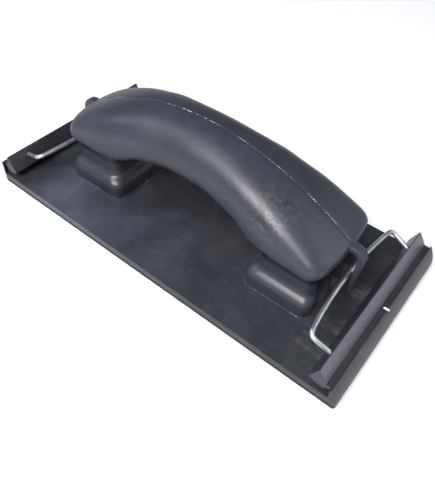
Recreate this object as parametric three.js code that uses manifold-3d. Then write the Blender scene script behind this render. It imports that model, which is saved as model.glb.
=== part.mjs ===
// Hand sanding block: a moulded base plate with a rubber sole, a two-part hollow grip on two feet,
// and a sprung clamp jaw with a wire bail at each end for holding a strip of abrasive.
// Millimetres. X runs along the block, Y across it and Z up; the origin is the centre of the sole's face.

import * as THREE from 'three';
import { mergeVertices } from 'three/addons/utils/BufferGeometryUtils.js';
import Module from 'manifold-3d';

const wasm = await Module();
wasm.setup();

// ---------------------------------------------------------------- driving dimensions

const GAP = 0.3;                 // running or seating clearance between two pieces
const OVER = 1;                  // how far a cutter runs past the face that it opens

const PLATE_LENGTH = 230;
const PLATE_WIDTH = 106.5;
const SOLE_THICKNESS = 2.7;
const PLATE_THICKNESS = 3.8;
const PLATE_TOP = SOLE_THICKNESS + PLATE_THICKNESS;
const CORNER_ROUND_LEFT = 6;     // the plate's corners are rounder at its left end
const CORNER_ROUND_RIGHT = 1.5;

const HINGE_X = 108.7;           // axis of each jaw's hinge web, measured from the middle
const HINGE_Z = 12.3;
const LEFT_CLAMP_TILT = 2.3;       // degrees that the left clamp rests nearer the plate than the right one
const KNUCKLE_RADIUS = 1.6;
const SEAT_RADIUS = KNUCKLE_RADIUS + GAP;
const WALL_TOP = 13.9;           // top of the end wall that carries the hinge
const WALL_SHOULDER = 7;       // where the end wall starts to round over
const WALL_INNER_X = 110.5;
const WALL_ROOT = 6;             // length of plate moulded with the end wall
const WALL_FILLET = 1.6;
const NOTCH_WIDTH = 1.6;         // vent notch across the top of the end wall, at mid-width

const JAW_LENGTH = 103.4;
const JAW_TIP = [98.9, 11.5];
const JAW_RIDGE = [104.5, 21];
const JAW_FACE_TOP = [103.1, 20.1];

const WIRE_RADIUS = 1.25;
const WIRE_SIDES = 10;
const WIRE_STEPS = 64;
const BAIL_ENTRY = new THREE.Vector3(101.8, 39.8, 17.1);
const BAIL_CORNER = new THREE.Vector3(90.3, 41.2, 21.9);
const BAIL_BOW = 3;              // how far the hook pushes the right bail's middle inwards
const LEFT_BAIL_BOW = 3.6;
const BAIL_BOW_START = 14;       // length of wire beside each corner that stays nearly straight
const BAIL_BEND = 5;
const BAIL_INSERT = 3.8;         // length of wire inside the jaw

const GRIP_HALF_LENGTH = 84;
const LEFT_SHORTENING = 0.8;     // the grip and its foot end this much nearer the middle on the left
const GRIP_TOP = 68.3;
const GRIP_END_TOP = 42.2;
const GRIP_UNDERSIDE = 38.1;       // at mid-length, over the finger gap
const GRIP_RIM = 32.7;           // over the feet
const GRIP_END_RIM = 36;
const GRIP_HALF_WIDTH = 20.8;
const GRIP_END_HALF_WIDTH = 26.2;
const GRIP_NOSE_HALF_WIDTH = 18.2;
const GRIP_END_BOW = 1.6;        // how far the end edge falls back at its corners
const GRIP_WAIST = [8, 62];      // stations between which the waist spreads to the full width
const GRIP_WIDEST = [0.36, 0.22];       // height of the widest line in the section, at middle and ends
const GRIP_CROWN_POWER = [2.25, 2.7];   // fullness of the section above that line
const GRIP_BELLY_POWER = [2.2, 7];      // and below it
const GRIP_NOSE_START = 76;
const GRIP_RIM_LIFT_START = 74;
const GRIP_WALL = 2.4;
const GRIP_RIB_X = 24;
const GRIP_RIB_WINDOW = 12;      // half width of the opening through each inner rib
const GRIP_STATIONS = 34;
const GRIP_RING = 32;
const SEAM_GAP = 0.2;            // between the two halves of the grip

const FOOT_INNER_X = 43;
const FOOT_OUTER_X = 82.2;
const FOOT_HALF_WIDTH = 26.6;
const FOOT_ROUND = 6;
const FOOT_SHOULDER = 17.5;      // height up to which the foot's sides are upright
const FOOT_TAPER = 4.2;          // how far the sides lean in between the shoulder and the grip
const FOOT_TOP = GRIP_RIM - GAP;
const FOOT_POCKET_DEPTH = 10;
const FOOT_SKIN = 2.4;
const FOOT_RIBS = 2;

const SCREW_X = 60;
const SCREW_Y = 13;
const SCREW_RADIUS = 2;
const SCREW_HEAD_RADIUS = 3.9;
const SCREW_HEAD_HEIGHT = 2;
const SCREW_TIP = 47;
const BOSS_RADIUS = 4.6;

const HOOK_ARCH = [86.1, 35.6];  // centre of the hook's arch
const HOOK_OUTER_RADIUS = 6.2;
const HOOK_INNER_RADIUS = 3.2;
const HOOK_WIDTH = 5.4;
const HOOK_TIP_WIDTH = 3;
const HOOK_TIP_Z = 9.3;
const HOOK_TIP_DEPTH = 2.3;
const HOOK_TIP_ROUND = 0.7;
const HOOK_TAPER_DROP = 6;       // the tongue tapers from this far below the arch's centre
const HOOK_ROOT_X = 77.5;
const HOOK_KEY_WIDTH = 9;        // cross key that the grip halves close over
const HOOK_KEY_LENGTH = 2.6;

const COLOURS = {
  plastic: { color: 0x3d3f44, roughness: 0.42, metalness: 0 },
  jaw: { color: 0x484a50, roughness: 0.45, metalness: 0 },
  rubber: { color: 0x2e2d2c, roughness: 0.9, metalness: 0 },
  wire: { color: 0xd2d4d6, roughness: 0.28, metalness: 1 },
  screw: { color: 0xa9acb0, roughness: 0.35, metalness: 1 },
};

// ---------------------------------------------------------------- solids

function solidFrom(geometry) {
  const bare = geometry.clone();
  bare.deleteAttribute('normal');
  bare.deleteAttribute('uv');
  const merged = mergeVertices(bare, 1e-4);
  return new wasm.Manifold(new wasm.Mesh({
    numProp: 3,
    vertProperties: Float32Array.from(merged.attributes.position.array),
    triVerts: Uint32Array.from(merged.index.array),
  }));
}

function geometryFrom(solid) {
  const mesh = solid.getMesh();
  const geometry = new THREE.BufferGeometry();
  geometry.setAttribute('position', new THREE.BufferAttribute(mesh.vertProperties, 3));
  geometry.setIndex(new THREE.BufferAttribute(mesh.triVerts, 1));
  const faceted = geometry.toNonIndexed();
  faceted.computeVertexNormals();
  return faceted;
}

function piece(name, solid, finish) {
  const mesh = new THREE.Mesh(geometryFrom(solid), new THREE.MeshStandardMaterial(COLOURS[finish]));
  mesh.name = name;
  return mesh;
}

function box(x0, x1, y0, y1, z0, z1) {
  const geometry = new THREE.BoxGeometry(x1 - x0, y1 - y0, z1 - z0);
  return solidFrom(geometry.translate((x0 + x1) / 2, (y0 + y1) / 2, (z0 + z1) / 2));
}

function post(x, y, z0, z1, radius) {
  const geometry = new THREE.CylinderGeometry(radius, radius, z1 - z0, 20);
  return solidFrom(geometry.rotateX(Math.PI / 2).translate(x, y, (z0 + z1) / 2));
}

// A profile drawn in the X-Z plane, extruded across the block and centred on Y = 0.
function acrossBlock(shape, width) {
  const geometry = new THREE.ExtrudeGeometry(shape, { depth: width, bevelEnabled: false, curveSegments: 6 });
  return solidFrom(geometry.rotateX(Math.PI / 2).translate(0, width / 2, 0));
}

// A plan outline drawn in X-Y, extruded upwards.
function upwards(shape, z0, z1) {
  const depth = z1 - z0;
  const geometry = new THREE.ExtrudeGeometry(shape, { depth, bevelEnabled: false, curveSegments: 6 });
  return solidFrom(geometry.translate(0, 0, z0));
}

function roundedRectangle(x0, x1, halfWidth, roundLow, roundHigh) {
  const shape = new THREE.Shape();
  shape.moveTo(x0 + roundLow, -halfWidth);
  shape.lineTo(x1 - roundHigh, -halfWidth);
  shape.absarc(x1 - roundHigh, -halfWidth + roundHigh, roundHigh, -Math.PI / 2, 0);
  shape.absarc(x1 - roundHigh, halfWidth - roundHigh, roundHigh, 0, Math.PI / 2);
  shape.absarc(x0 + roundLow, halfWidth - roundLow, roundLow, Math.PI / 2, Math.PI);
  shape.absarc(x0 + roundLow, -halfWidth + roundLow, roundLow, Math.PI, 1.5 * Math.PI);
  return shape;
}

function plateOutline() {
  const half = PLATE_LENGTH / 2;
  return roundedRectangle(-half, half, PLATE_WIDTH / 2, CORNER_ROUND_LEFT, CORNER_ROUND_RIGHT);
}

// The parts at the left end mirror those at the right end.
function atEnd(solid, side) {
  return side > 0 ? solid : solid.mirror([1, 0, 0]);
}

// The same, for the parts that follow the grip's shorter left end.
function atGripEnd(solid, side) {
  return side > 0 ? solid : solid.mirror([1, 0, 0]).translate([LEFT_SHORTENING, 0, 0]);
}

// The same, for the parts of a clamp: the left one is turned a little about its hinge.
function atClamp(solid, side) {
  if (side > 0) return solid;
  const turned = solid.translate([-HINGE_X, 0, -HINGE_Z]).rotate([0, -LEFT_CLAMP_TILT, 0]);
  return turned.translate([HINGE_X, 0, HINGE_Z]).mirror([1, 0, 0]);
}

function screwPlaces(side) {
  return [[side * SCREW_X, -SCREW_Y], [side * SCREW_X, SCREW_Y]];
}

// ---------------------------------------------------------------- base

function solePad() {
  return upwards(plateOutline(), 0, SOLE_THICKNESS - GAP);
}

// Section of the end wall: it rounds over outside, and ends inside in the seat of the jaw's knuckle.
function endWallShape() {
  const outerX = PLATE_LENGTH / 2;
  const shape = new THREE.Shape();
  shape.moveTo(WALL_INNER_X - WALL_ROOT, SOLE_THICKNESS);
  shape.lineTo(outerX, SOLE_THICKNESS);
  shape.lineTo(outerX, WALL_SHOULDER);
  shape.bezierCurveTo(outerX, WALL_SHOULDER + 3.2, outerX - 1.7, WALL_TOP - 1.6, outerX - 3.6, WALL_TOP);
  const lipAngle = Math.asin((WALL_TOP - HINGE_Z) / SEAT_RADIUS);
  shape.absarc(HINGE_X, HINGE_Z, SEAT_RADIUS, lipAngle, -Math.PI / 3, true);
  shape.lineTo(WALL_INNER_X, HINGE_Z - WALL_FILLET);
  shape.lineTo(WALL_INNER_X, PLATE_TOP + WALL_FILLET);
  shape.quadraticCurveTo(WALL_INNER_X, PLATE_TOP, WALL_INNER_X - WALL_FILLET, PLATE_TOP);
  shape.lineTo(WALL_INNER_X - WALL_ROOT, PLATE_TOP);
  return shape;
}

function basePlate() {
  const half = PLATE_LENGTH / 2;
  const reach = WALL_INNER_X - WALL_ROOT + OVER;
  let solid = box(-reach, reach, -PLATE_WIDTH / 2, PLATE_WIDTH / 2, SOLE_THICKNESS, PLATE_TOP);
  for (const side of [-1, 1]) {
    const wall = acrossBlock(endWallShape(), PLATE_WIDTH);
    const notch = box(
      HINGE_X, half, -NOTCH_WIDTH / 2, NOTCH_WIDTH / 2, WALL_TOP - NOTCH_WIDTH, WALL_TOP + OVER,
    );
    solid = solid.add(atEnd(wall.subtract(notch), side));
    for (const [x, y] of screwPlaces(side)) {
      const seat = SOLE_THICKNESS + SCREW_HEAD_HEIGHT + GAP;
      solid = solid.subtract(post(x, y, SOLE_THICKNESS - OVER, PLATE_TOP + OVER, SCREW_RADIUS + GAP));
      solid = solid.subtract(post(x, y, SOLE_THICKNESS - OVER, seat, SCREW_HEAD_RADIUS + GAP));
    }
  }
  return solid.intersect(upwards(plateOutline(), 0, WALL_TOP + OVER));
}

// Slab of a foot's plan outline, drawn in from the base outline by an inset.
function footSlab(side, inset, z0, z1) {
  const outerX = side > 0 ? FOOT_OUTER_X : FOOT_OUTER_X - LEFT_SHORTENING;
  const outline = roundedRectangle(
    FOOT_INNER_X + inset, outerX - inset / 2, FOOT_HALF_WIDTH - inset, FOOT_ROUND, FOOT_ROUND / 2,
  );
  return upwards(outline, z0, z1);
}

// Foot: upright sides to a rounded shoulder, then tapering in up to the grip, with screw holes.
// It is cored out from the outboard end between upright ribs.
function foot(side) {
  let solid = wasm.Manifold.hull([
    footSlab(side, 0, PLATE_TOP + GAP, FOOT_SHOULDER),
    footSlab(side, FOOT_TAPER / 7, FOOT_SHOULDER, FOOT_SHOULDER + FOOT_TAPER / 2),
    footSlab(side, FOOT_TAPER, FOOT_TOP - GAP, FOOT_TOP),
  ]);
  const bays = FOOT_RIBS + 1;
  const halfClear = FOOT_HALF_WIDTH - FOOT_TAPER - FOOT_SKIN;
  const bay = (2 * halfClear - FOOT_RIBS * FOOT_SKIN) / bays;
  for (let i = 0; i < bays; i += 1) {
    const y0 = i * (bay + FOOT_SKIN) - halfClear;
    const pocket = box(
      FOOT_OUTER_X - FOOT_POCKET_DEPTH, FOOT_OUTER_X + OVER, y0, y0 + bay,
      PLATE_TOP + FOOT_SKIN, FOOT_TOP - FOOT_SKIN,
    );
    solid = solid.subtract(pocket);
  }
  for (const [x, y] of screwPlaces(1)) {
    solid = solid.subtract(post(x, y, PLATE_TOP - OVER, FOOT_TOP + OVER, SCREW_RADIUS + GAP));
  }
  return atEnd(solid, side);
}

// A pan-headed screw, standing on its own axis.
function screw() {
  const headBottom = SOLE_THICKNESS + GAP;
  const headTop = headBottom + SCREW_HEAD_HEIGHT - GAP;
  const profile = [
    [0, headBottom],
    [SCREW_HEAD_RADIUS - 0.5, headBottom],
    [SCREW_HEAD_RADIUS, headBottom + 0.6],
    [SCREW_HEAD_RADIUS, headTop],
    [SCREW_RADIUS, headTop],
    [SCREW_RADIUS, SCREW_TIP - 4],
    [0, SCREW_TIP],
  ].map(([radius, height]) => new THREE.Vector2(radius, height));
  const geometry = new THREE.LatheGeometry(profile, 20);
  return solidFrom(geometry.rotateX(Math.PI / 2));
}

// ---------------------------------------------------------------- grip

// Smooth 0-to-1 ramp of a distance from the middle of the block.
function ramp(distance, from, to) {
  return THREE.MathUtils.smoothstep(distance, from, to);
}

// Quarter-ellipse fall from 1 to 0 over the last stretch of the grip.
function roundOff(distance, start) {
  const t = Math.max(0, (distance - start) / (GRIP_HALF_LENGTH - start));
  return Math.sqrt(Math.max(0, 1 - t * t));
}

// Cross-section of the grip at one station: flat-bottomed and broad over the feet, oval in the middle.
function gripSection(station, wall) {
  const distance = Math.abs(station);
  const spread = ramp(distance, ...GRIP_WAIST);
  const blend = ([middle, end]) => middle + (end - middle) * spread;
  const body = blend([GRIP_HALF_WIDTH, GRIP_END_HALF_WIDTH]);
  const nose = roundOff(distance, GRIP_NOSE_START);
  const halfWidth = GRIP_NOSE_HALF_WIDTH + (body - GRIP_NOSE_HALF_WIDTH) * nose - wall;
  const fall = (distance / GRIP_HALF_LENGTH) ** 2;
  const top = GRIP_TOP - (GRIP_TOP - GRIP_END_TOP) * fall - wall;
  const arch = GRIP_UNDERSIDE + (GRIP_RIM - GRIP_UNDERSIDE) * ramp(distance, 0, FOOT_INNER_X - 2);
  const lift = 1 - roundOff(distance, GRIP_RIM_LIFT_START);
  const bottom = arch + (GRIP_END_RIM - GRIP_RIM) * lift + wall;
  const widest = bottom + (top - bottom) * blend(GRIP_WIDEST);
  const upperPower = 2 / blend(GRIP_CROWN_POWER);
  const lowerPower = 2 / blend(GRIP_BELLY_POWER);
  const scale = station < 0 ? 1 - LEFT_SHORTENING / GRIP_HALF_LENGTH : 1;
  const ring = [];
  for (let i = 0; i < GRIP_RING; i += 1) {
    const angle = 2 * Math.PI * (i + 0.5) / GRIP_RING;
    const across = Math.cos(angle);
    const up = Math.sin(angle);
    const power = up > 0 ? upperPower : lowerPower;
    const reach = up > 0 ? top - widest : widest - bottom;
    const side = Math.sign(across) * Math.abs(across) ** power;
    const bow = GRIP_END_BOW * side ** 2 * (station / GRIP_HALF_LENGTH) ** 5;
    const height = widest + reach * Math.sign(up) * Math.abs(up) ** power;
    ring.push(new THREE.Vector3(station * scale - bow, halfWidth * side, height));
  }
  return ring;
}

// Closed solid through a row of rings, each with the same number of points.
function loft(rings) {
  const count = rings[0].length;
  const points = rings.flat();
  const triangles = [];
  for (let r = 0; r + 1 < rings.length; r += 1) {
    for (let i = 0; i < count; i += 1) {
      const a = r * count + i;
      const b = r * count + (i + 1) % count;
      triangles.push(a, b, a + count, b, b + count, a + count);
    }
  }
  for (const r of [0, rings.length - 1]) {
    const centre = rings[r].reduce((sum, p) => sum.add(p), new THREE.Vector3()).divideScalar(count);
    const hub = points.push(centre) - 1;
    for (let i = 0; i < count; i += 1) {
      const a = r * count + i;
      const b = r * count + (i + 1) % count;
      triangles.push(...(r === 0 ? [hub, b, a] : [hub, a, b]));
    }
  }
  const geometry = new THREE.BufferGeometry().setFromPoints(points);
  geometry.setIndex(triangles);
  return solidFrom(geometry);
}

function gripBody(wall) {
  const rings = [];
  const reach = GRIP_HALF_LENGTH - wall;
  for (let i = 0; i <= GRIP_STATIONS; i += 1) {
    const t = 2 * i / GRIP_STATIONS - 1;
    rings.push(gripSection(reach * Math.sin(t * Math.PI / 2), wall));
  }
  return loft(rings);
}

function hookSlot(side) {
  const neck = box(
    FOOT_OUTER_X - 2, GRIP_HALF_LENGTH + OVER, -HOOK_WIDTH / 2 - GAP, HOOK_WIDTH / 2 + GAP,
    HOOK_ARCH[1] + HOOK_INNER_RADIUS - GAP, HOOK_ARCH[1] + HOOK_OUTER_RADIUS + GAP,
  );
  return atGripEnd(neck, side);
}

// One half of the hollow grip, with screw bosses and cross ribs inside, open along the seam.
function gripHalf(side) {
  const outer = gripBody(0);
  const half = GRIP_WALL / 2;
  let solid = outer.subtract(gripBody(GRIP_WALL));
  for (const end of [-1, 1]) {
    const boss = post(end * SCREW_X, side * SCREW_Y, GRIP_RIM, GRIP_TOP, BOSS_RADIUS);
    solid = solid.add(boss.intersect(outer));
    solid = solid.subtract(post(end * SCREW_X, side * SCREW_Y, 0, SCREW_TIP + 1, SCREW_RADIUS + GAP));
    solid = solid.subtract(hookSlot(end));
    const ribX = end * GRIP_RIB_X;
    const rib = box(ribX - half, ribX + half, -PLATE_WIDTH, PLATE_WIDTH, 0, GRIP_TOP).intersect(outer);
    const window = box(
      ribX - half - OVER, ribX + half + OVER, -GRIP_RIB_WINDOW, GRIP_RIB_WINDOW,
      GRIP_UNDERSIDE + 2 * GRIP_WALL, GRIP_TOP - 4 * GRIP_WALL,
    );
    solid = solid.add(rib.subtract(window));
  }
  const inside = SEAM_GAP / 2;
  const keep = side > 0
    ? box(-PLATE_LENGTH, PLATE_LENGTH, inside, PLATE_WIDTH, 0, GRIP_TOP + OVER)
    : box(-PLATE_LENGTH, PLATE_LENGTH, -PLATE_WIDTH, -inside, 0, GRIP_TOP + OVER);
  return solid.intersect(keep);
}

// Hook that hangs from the end of the grip: it arches over and comes down outside the bail.
function hookShape() {
  const [cx, cz] = HOOK_ARCH;
  const shape = new THREE.Shape();
  shape.moveTo(HOOK_ROOT_X, cz + HOOK_INNER_RADIUS);
  shape.lineTo(cx, cz + HOOK_INNER_RADIUS);
  shape.absarc(cx, cz, HOOK_INNER_RADIUS, Math.PI / 2, 0, true);
  const face = cx + HOOK_INNER_RADIUS;
  shape.lineTo(face, HOOK_TIP_Z + HOOK_TIP_ROUND);
  shape.quadraticCurveTo(face, HOOK_TIP_Z, face + HOOK_TIP_ROUND, HOOK_TIP_Z);
  const back = face + HOOK_TIP_DEPTH;
  shape.quadraticCurveTo(back, HOOK_TIP_Z, back, HOOK_TIP_Z + 3 * HOOK_TIP_ROUND);
  shape.lineTo(cx + HOOK_OUTER_RADIUS, cz);
  shape.absarc(cx, cz, HOOK_OUTER_RADIUS, 0, Math.PI / 2);
  shape.lineTo(HOOK_ROOT_X, cz + HOOK_OUTER_RADIUS);
  return shape;
}

function bailHook(side) {
  const [cx, cz] = HOOK_ARCH;
  const front = new THREE.Shape();
  front.moveTo(-HOOK_TIP_WIDTH / 2, 0);
  front.lineTo(HOOK_TIP_WIDTH / 2, 0);
  front.lineTo(HOOK_WIDTH / 2, cz - HOOK_TAPER_DROP);
  front.lineTo(HOOK_WIDTH / 2, cz + HOOK_OUTER_RADIUS + OVER);
  front.lineTo(-HOOK_WIDTH / 2, cz + HOOK_OUTER_RADIUS + OVER);
  front.lineTo(-HOOK_WIDTH / 2, cz - HOOK_TAPER_DROP);
  const taper = new THREE.ExtrudeGeometry(front, { depth: PLATE_LENGTH / 2, bevelEnabled: false });
  taper.rotateX(Math.PI / 2).rotateZ(Math.PI / 2);
  const hook = acrossBlock(hookShape(), HOOK_WIDTH).intersect(solidFrom(taper));
  const key = box(
    HOOK_ROOT_X, HOOK_ROOT_X + HOOK_KEY_LENGTH, -HOOK_KEY_WIDTH / 2, HOOK_KEY_WIDTH / 2,
    cz + HOOK_INNER_RADIUS / 2, cz + HOOK_OUTER_RADIUS - OVER,
  );
  return atGripEnd(hook.add(key), side);
}

// ---------------------------------------------------------------- clamps

function jawShape() {
  const shape = new THREE.Shape();
  shape.moveTo(JAW_TIP[0] + 0.4, JAW_TIP[1] - 0.35);
  shape.quadraticCurveTo(JAW_TIP[0] - 0.3, JAW_TIP[1] - 0.1, JAW_TIP[0] + 0.1, JAW_TIP[1] + 0.7);
  shape.lineTo(JAW_FACE_TOP[0], JAW_FACE_TOP[1]);
  shape.quadraticCurveTo(JAW_RIDGE[0] - 0.8, JAW_RIDGE[1], JAW_RIDGE[0], JAW_RIDGE[1]);
  shape.quadraticCurveTo(JAW_RIDGE[0] + 1.3, JAW_RIDGE[1], JAW_RIDGE[0] + 2, JAW_RIDGE[1] - 1.5);
  shape.quadraticCurveTo(HINGE_X - 0.9, HINGE_Z + 4.6, HINGE_X - 0.55, HINGE_Z + 1.5);
  shape.absarc(HINGE_X, HINGE_Z, KNUCKLE_RADIUS, 1.9, -2.2, true);
  shape.quadraticCurveTo(HINGE_X - 1.2, HINGE_Z - 3.3, HINGE_X - 2.9, HINGE_Z - 3.5);
  shape.quadraticCurveTo(HINGE_X - 5.5, HINGE_Z - 3.2, JAW_TIP[0] + 0.4, JAW_TIP[1] - 0.35);
  return shape;
}

// Direction of the bail's legs, square to the jaw's inner face.
function legDirection(hand) {
  const corner = new THREE.Vector3(BAIL_CORNER.x, hand * BAIL_CORNER.y, BAIL_CORNER.z);
  const entry = new THREE.Vector3(BAIL_ENTRY.x, hand * BAIL_ENTRY.y, BAIL_ENTRY.z);
  return entry.sub(corner).normalize();
}

function legPoint(hand, distance) {
  const entry = new THREE.Vector3(BAIL_ENTRY.x, hand * BAIL_ENTRY.y, BAIL_ENTRY.z);
  return entry.addScaledVector(legDirection(hand), distance);
}

function clampJaw(side) {
  let solid = acrossBlock(jawShape(), JAW_LENGTH);
  for (const hand of [-1, 1]) {
    const bore = new THREE.LineCurve3(legPoint(hand, -4), legPoint(hand, BAIL_INSERT + GAP));
    solid = solid.subtract(tube(bore, WIRE_RADIUS + GAP, 2));
  }
  return atClamp(solid, side);
}

function tube(path, radius, steps) {
  const section = new THREE.Shape();
  for (let i = 0; i < WIRE_SIDES; i += 1) {
    const angle = 2 * Math.PI * i / WIRE_SIDES;
    const point = [radius * Math.cos(angle), radius * Math.sin(angle)];
    if (i === 0) section.moveTo(...point);
    else section.lineTo(...point);
  }
  return solidFrom(new THREE.ExtrudeGeometry(section, { steps, extrudePath: path, bevelEnabled: false }));
}

// Wire bail: two legs square to the jaw, a tight bend at each and a middle bowed in by the hook.
function wireBail(side) {
  const bow = side > 0 ? BAIL_BOW : LEFT_BAIL_BOW;
  const points = [];
  for (const hand of [-1, 1]) {
    const corner = new THREE.Vector3(BAIL_CORNER.x, hand * BAIL_CORNER.y, BAIL_CORNER.z);
    const along = legDirection(hand);
    const straight = corner.clone().add(new THREE.Vector3(-bow / 3, -hand * BAIL_BOW_START, bow / 6));
    const across = straight.sub(corner).normalize();
    points.push({ corner, along, across });
  }
  const bend = ({ corner, along, across }) => [
    corner.clone().addScaledVector(along, BAIL_BEND),
    corner.clone(),
    corner.clone().addScaledVector(across, BAIL_BEND),
  ];
  const [near, far] = points;
  const nearBend = bend(near);
  const farBend = bend(far).reverse();
  const pull = hand => new THREE.Vector3(
    BAIL_CORNER.x - bow * 4 / 3, hand * (BAIL_BOW_START - 2), BAIL_CORNER.z + bow / 2,
  );
  const path = new THREE.CurvePath();
  path.add(new THREE.LineCurve3(legPoint(-1, BAIL_INSERT), nearBend[0]));
  path.add(new THREE.QuadraticBezierCurve3(...nearBend));
  path.add(new THREE.CubicBezierCurve3(nearBend[2], pull(-1), pull(1), farBend[0]));
  path.add(new THREE.QuadraticBezierCurve3(...farBend));
  path.add(new THREE.LineCurve3(farBend[2], legPoint(1, BAIL_INSERT)));
  return atClamp(tube(path, WIRE_RADIUS, WIRE_STEPS), side);
}

// ---------------------------------------------------------------- assembly

const sandingBlock = new THREE.Group();
sandingBlock.name = 'sanding_block';

const base = new THREE.Group();
base.name = 'base';
base.add(piece('sole_pad', solePad(), 'rubber'));
base.add(piece('base_plate', basePlate(), 'plastic'));
sandingBlock.add(base);

const grip = new THREE.Group();
grip.name = 'grip';
grip.add(piece('grip_half_near', gripHalf(-1), 'plastic'));
grip.add(piece('grip_half_far', gripHalf(1), 'plastic'));
sandingBlock.add(grip);

for (const [end, side] of [['left', -1], ['right', 1]]) {
  base.add(piece(`foot_${end}`, foot(side), 'plastic'));
  grip.add(piece(`bail_hook_${end}`, bailHook(side), 'plastic'));
  screwPlaces(side).forEach(([x, y], index) => {
    const fixing = piece(`grip_screw_${end}_${index + 1}`, screw(), 'screw');
    fixing.position.set(x, y, 0);
    grip.add(fixing);
  });
  const clamp = new THREE.Group();
  clamp.name = `clamp_${end}`;
  clamp.add(piece(`clamp_jaw_${end}`, clampJaw(side), 'jaw'));
  clamp.add(piece(`wire_bail_${end}`, wireBail(side), 'wire'));
  sandingBlock.add(clamp);
}

export default sandingBlock;
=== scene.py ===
import random
from math import asin, cos, pi, radians, sin, sqrt

import bmesh
import bpy
from mathutils import Matrix, Vector


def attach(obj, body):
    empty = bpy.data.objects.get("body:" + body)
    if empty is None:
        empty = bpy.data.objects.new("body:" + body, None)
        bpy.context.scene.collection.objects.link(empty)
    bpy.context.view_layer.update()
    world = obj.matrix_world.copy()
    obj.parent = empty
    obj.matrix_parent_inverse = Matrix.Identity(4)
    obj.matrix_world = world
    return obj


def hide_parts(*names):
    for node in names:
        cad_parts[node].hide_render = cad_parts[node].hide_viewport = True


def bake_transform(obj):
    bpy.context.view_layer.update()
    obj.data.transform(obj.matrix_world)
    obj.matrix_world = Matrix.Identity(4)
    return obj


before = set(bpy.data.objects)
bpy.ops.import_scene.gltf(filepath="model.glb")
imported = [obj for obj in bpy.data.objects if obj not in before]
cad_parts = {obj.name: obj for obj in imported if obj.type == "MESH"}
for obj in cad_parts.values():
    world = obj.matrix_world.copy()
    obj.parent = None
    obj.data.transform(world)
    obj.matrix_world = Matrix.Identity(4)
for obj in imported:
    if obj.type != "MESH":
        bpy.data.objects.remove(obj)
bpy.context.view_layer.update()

# Hand sanding block. Lengths are millimetres until a mesh point is placed, and MM turns them into metres.
MM = 0.001

# ---------------------------------------------------------------- sizes

PLATE_HALF_LENGTH = 115
PLATE_HALF_WIDTH = 53.24
CORNER_ROUND_LEFT = 6
CORNER_ROUND_RIGHT = 1.5
SOLE_TOP = 2.66
SOLE_RINGS = ((0.5, 0), (0.15, 0.12), (0, 0.45), (0, SOLE_TOP - 0.4), (0.35, SOLE_TOP))    # inset, height
PLATE_BOTTOM = 2.7
PLATE_TOP = 6.5
PLATE_EASE = 0.45                # rounding of the plate's edges

HINGE_X = 108.7
HINGE_Z = 12.3
KNUCKLE_RADIUS = 1.2
SEAT_RADIUS = 1.9
LEFT_CLAMP_TILT = radians(2.3)
WALL_TOP = 13.9
WALL_SHOULDER = 4.5
WALL_FACE_PULL = (PLATE_HALF_LENGTH - 1.5, 9.6)    # how full the wall's outer face is
WALL_CREST_X = 110.7
WALL_CREST_LEAN = 0.25           # how far the crest's inner face leans in as it drops to the groove
GROOVE_FLOOR = 13.3              # height of the seat's outer lip, under the web
WALL_INNER_X = 110.4
WALL_FILLET = 1.6
NOTCH_HALF_WIDTH = 0.8
NOTCH_DEPTH = 1.3
NOTCH_INNER_X = HINGE_X + 0.5
# near-white sliver across the groove at the middle of the right end wall
PALE_SLIVER_PATH = ((108.7, 13.9), (109, 14.15), (110, 14.25), (111.3, 14.3), (111.7, 14.1))
PALE_SLIVER_RADII = [0.3, 0.55, 0.62, 0.55, 0.3]

JAW_HALF_LENGTH = 52.2
JAW_TIP = {"left": (99.3, 11.45), "right": (99.05, 11.4)}
JAW_RIDGE = {"left": (104.4, 21), "right": (102.65, 20.6)}
JAW_BASE = (107.35, 13.75)         # where the jaw's outer face meets the web
JAW_HEEL = (HINGE_X - 2.9, HINGE_Z - 3.5)
JAW_EASE = 0.22
WEB_SECTION = (
    (110.6, 13.1), (110.6, 13.42), (110.0, 13.44), (109.4, 13.46), (108.9, 13.48), (108.4, 13.5),
    (107.9, 13.5), (107.45, 13.5), (107.45, 13.2), (107.9, 13.15), (108.6, 13.1), (109.6, 13.1),
)
WEB_END_GAP = 0.2                # from the jaw's end to the web's

WIRE_RADIUS = 1.25
BAIL_ENTRY = Vector((101.8, 39.8, 17.1))
BAIL_CORNER = Vector((90.3, 41.2, 21.9))
BAIL_BOW = {"right": 3, "left": 3.6}
BAIL_BOW_START = 14
BAIL_BEND = {-1: 4.4, 1: 3.2}    # length of each bend, at the near leg and the far one
BAIL_INSERT = 2.2
BAIL_STEPS = 48

GRIP_HALF_LENGTH = 84
LEFT_SHORTENING = 0.8
GRIP_TOP = 68.05
GRIP_END_TOP = 42.2
GRIP_UNDERSIDE = 38.1
GRIP_ARCH_FOOT = (30.5, 45)        # between these the underside drops from the arch to the foot
GRIP_RIM = 32.7
GRIP_END_RIM = 36
GRIP_HALF_WIDTH = 20.8
GRIP_END_HALF_WIDTH = 26.2
GRIP_NOSE_HALF_WIDTH = 18.2
GRIP_END_BOW = 1.6
GRIP_WAIST = (8, 62)
GRIP_WIDEST = (0.36, 0.22)
GRIP_CROWN_POWER = (2.25, 2.7)
GRIP_BELLY_POWER = (2.2, 7)
GRIP_NOSE_START = 76
GRIP_RIM_LIFT_START = 74
GRIP_WALL = 2.2
GRIP_EASE = 0.22
GRIP_EDGE_ROUND = 0.7            # rounding of the edge round each end face of the grip
GRIP_EDGE_STEPS = 5
GRIP_END_KEEPS = (0.85, 0.6, 0.3, 0.02)    # the end face closes towards its middle in these shares
GRIP_STATIONS = 120
GRIP_RING = 52
SEAM_GAP = 0.16
GRIP_CREST_FOLD = 2.6            # how sharply the two sides of the crown meet along the crest
GRIP_FOLD_REACH = (-40, 30)      # stations between which the fold comes in

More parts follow.
